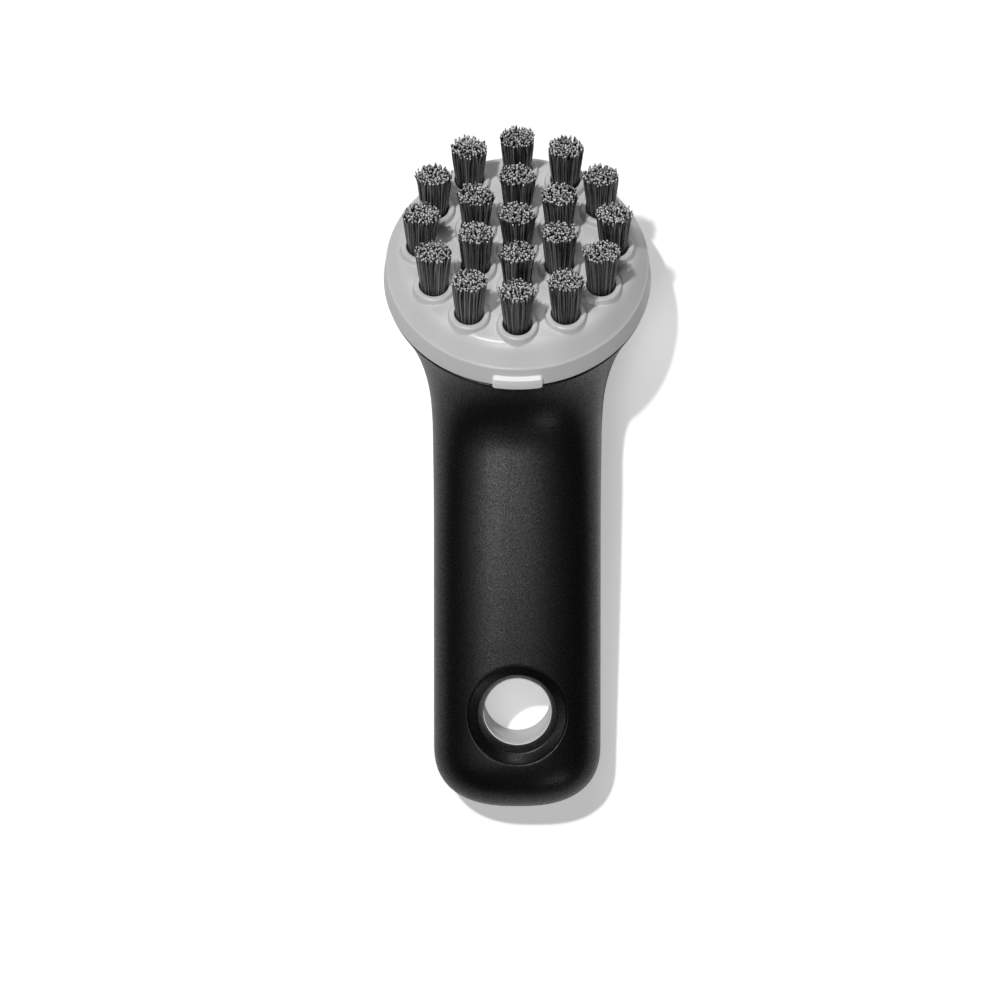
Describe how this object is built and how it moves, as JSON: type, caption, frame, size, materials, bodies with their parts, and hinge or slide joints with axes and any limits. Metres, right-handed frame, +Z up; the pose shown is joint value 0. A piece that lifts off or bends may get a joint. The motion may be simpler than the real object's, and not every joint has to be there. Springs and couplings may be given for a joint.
{
  "type": "cast iron brush",
  "caption": "Short hand brush for cast iron pans: round plate of stiff round bristle tufts on an angled soft-skinned handle with a hanging hole.",
  "frame": {"origin": "centre of the lying brush's bounding box, on the floor", "axes": "+Y from the handle towards the bristle head, +Z up out of the floor that the brush lies on its back on, +X across the handle"},
  "size_m": [0.0614, 0.1563, 0.0601],
  "materials": {
    "soft_black": "fine matt grain, soft touch",
    "plate_grey": "fine satin grain",
    "core_white": "satin moulded",
    "bristle": "satin drawn nylon with cut ends",
    "anchor": "flat wire"
  },
  "bodies": {
    "root": {"grip": "soft_black", "core_front": "core_white", "core_back": "core_white", "brush_plate": "plate_grey", "tuft_anchors": "anchor", "tuft_01": "bristle", "tuft_02": "bristle", "tuft_03": "bristle", "tuft_04": "bristle", "tuft_05": "bristle", "tuft_06": "bristle", "tuft_07": "bristle", "tuft_08": "bristle", "tuft_09": "bristle", "tuft_10": "bristle", "tuft_11": "bristle", "tuft_12": "bristle", "tuft_13": "bristle", "tuft_14": "bristle", "tuft_15": "bristle", "tuft_16": "bristle", "tuft_17": "bristle", "tuft_18": "bristle", "tuft_19": "bristle"}
  },
  "joints": []
}
